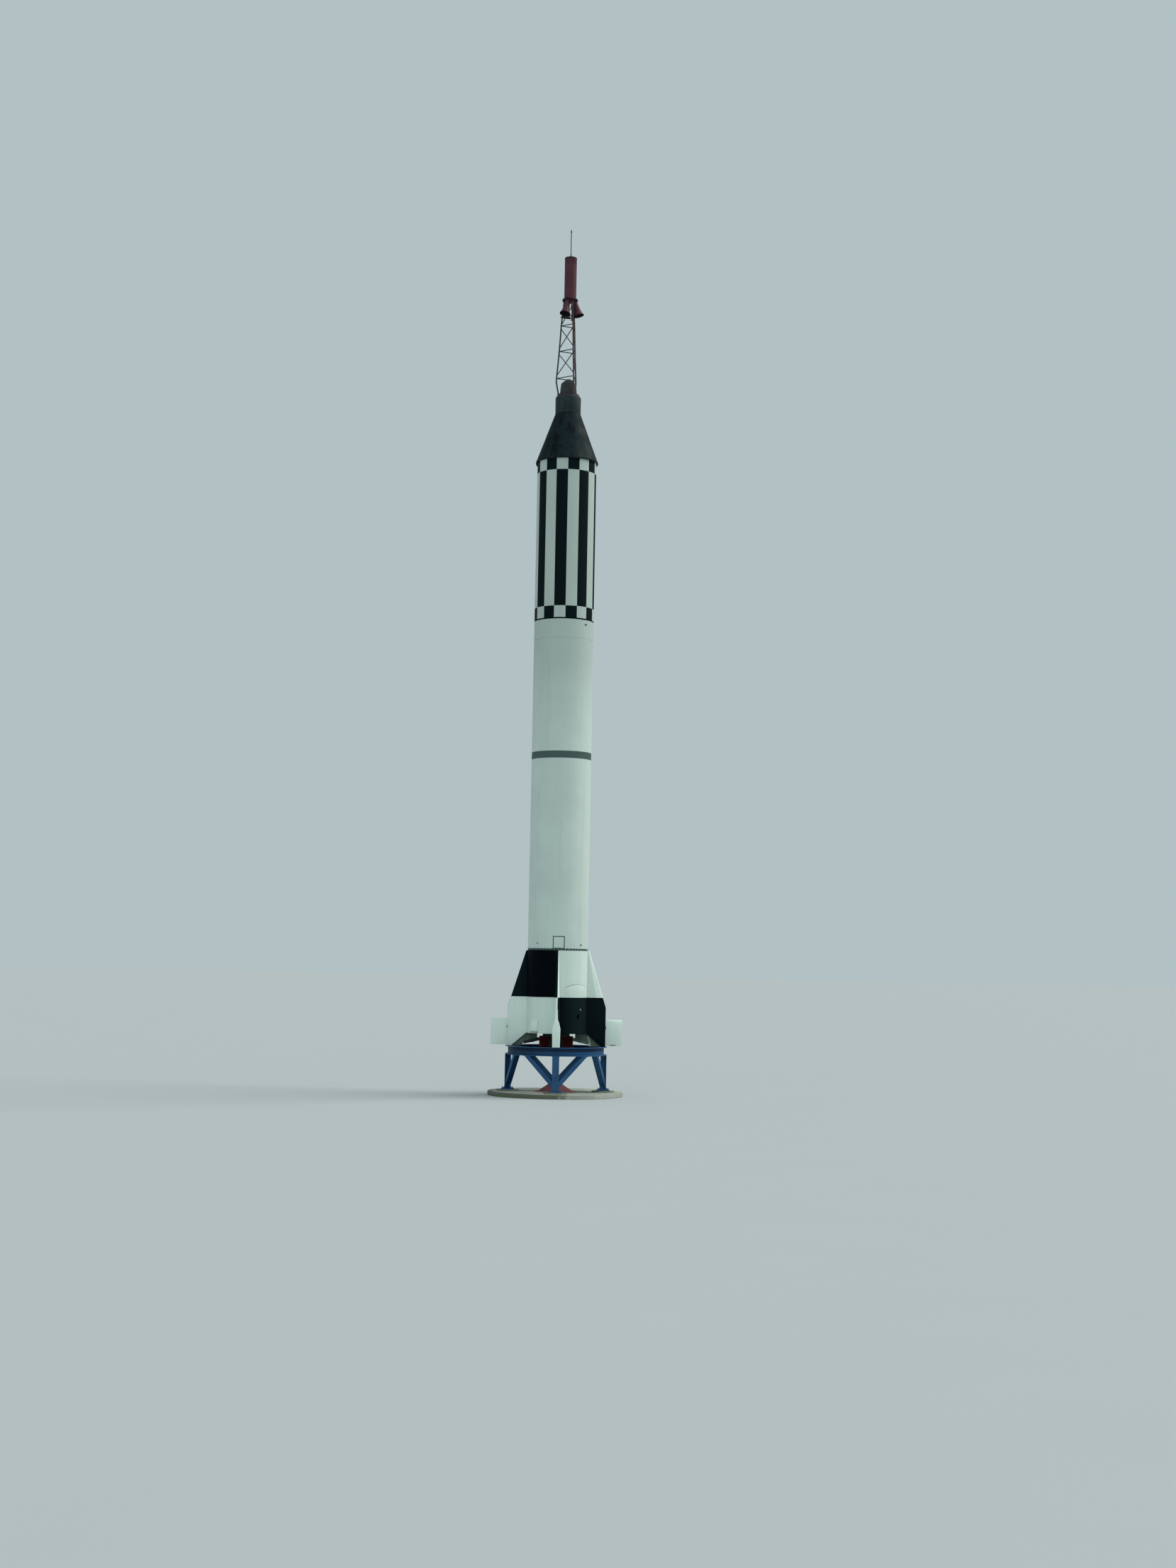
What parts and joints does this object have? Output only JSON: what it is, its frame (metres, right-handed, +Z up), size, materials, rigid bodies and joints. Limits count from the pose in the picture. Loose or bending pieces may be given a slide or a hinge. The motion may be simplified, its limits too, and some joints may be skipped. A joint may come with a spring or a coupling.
{
  "type": "space rocket on a launch stand",
  "caption": "Single-stage crewed rocket with a conical capsule, lattice escape tower, tail fins and hinged rudders, standing on a ring stand over a round slab.",
  "frame": {"origin": "centre of the round slab's underside", "axes": "+Z up along the rocket's axis, -Y towards the front fin, +X towards the right fin"},
  "size_m": [4, 4, 26.22],
  "materials": {
    "white_paint": "weathered white paint",
    "seam_paint": "dark joint ring",
    "band_paint": "dark grey band",
    "capsule_shingle": "weathered dark grey shingles",
    "maroon_paint": "weathered maroon paint",
    "red_paint": "red paint",
    "blue_paint": "blue stand paint",
    "bare_steel": "dull grey steel",
    "tower_paint": "dark weathered paint with rust",
    "faded_red": "sun-faded red paint",
    "concrete": "rough concrete"
  },
  "bodies": {
    "rocket": {"concrete_slab": "concrete", "deflector_cone": "faded_red", "stand_ring": "blue_paint", "stand_leg_front": "blue_paint", "stand_leg_right": "blue_paint", "stand_leg_back": "blue_paint", "stand_leg_left": "blue_paint", "tail_shell": "white_paint", "engine_block": "bare_steel", "engine_nozzle": "bare_steel", "nozzle_shroud": "red_paint", "fin_front": "white_paint", "fin_right": "white_paint", "fin_back": "white_paint", "fin_left": "white_paint", "fin_bracket_front": "bare_steel", "fin_bracket_right": "bare_steel", "fin_bracket_back": "bare_steel", "fin_bracket_left": "bare_steel", "tail_joint_ring": "seam_paint", "tank_section_lower": "white_paint", "tank_band": "band_paint", "tank_section_upper": "white_paint", "instrument_joint_ring": "seam_paint", "instrument_section": "white_paint", "capsule_adapter": "white_paint", "capsule_flange": "capsule_shingle", "capsule_cone": "capsule_shingle", "capsule_neck": "capsule_shingle", "tower_base_ring": "maroon_paint", "antenna_fairing": "capsule_shingle", "escape_tower": "tower_paint", "escape_nozzle_1": "maroon_paint", "escape_nozzle_2": "maroon_paint", "escape_nozzle_3": "maroon_paint", "escape_collar": "maroon_paint", "escape_motor": "maroon_paint", "escape_motor_cap": "maroon_paint", "aerodynamic_spike": "tower_paint"},
    "front_rudder": {"rudder_front": "white_paint"},
    "right_rudder": {"rudder_right": "white_paint"},
    "back_rudder": {"rudder_back": "white_paint"},
    "left_rudder": {"rudder_left": "white_paint"}
  },
  "joints": [
    {"name": "front_rudder_hinge", "type": "hinge", "parent": "rocket", "child": "front_rudder", "pos_m": [0, -1.6, 2], "axis": [0, -1, 0], "range_deg": [-25, 25]},
    {"name": "right_rudder_hinge", "type": "hinge", "parent": "rocket", "child": "right_rudder", "pos_m": [1.6, 0, 2], "axis": [1, 0, 0], "range_deg": [-25, 25]},
    {"name": "back_rudder_hinge", "type": "hinge", "parent": "rocket", "child": "back_rudder", "pos_m": [0, 1.6, 2], "axis": [0, 1, 0], "range_deg": [-25, 25]},
    {"name": "left_rudder_hinge", "type": "hinge", "parent": "rocket", "child": "left_rudder", "pos_m": [-1.6, 0, 2], "axis": [-1, 0, 0], "range_deg": [-25, 25]}
  ]
}
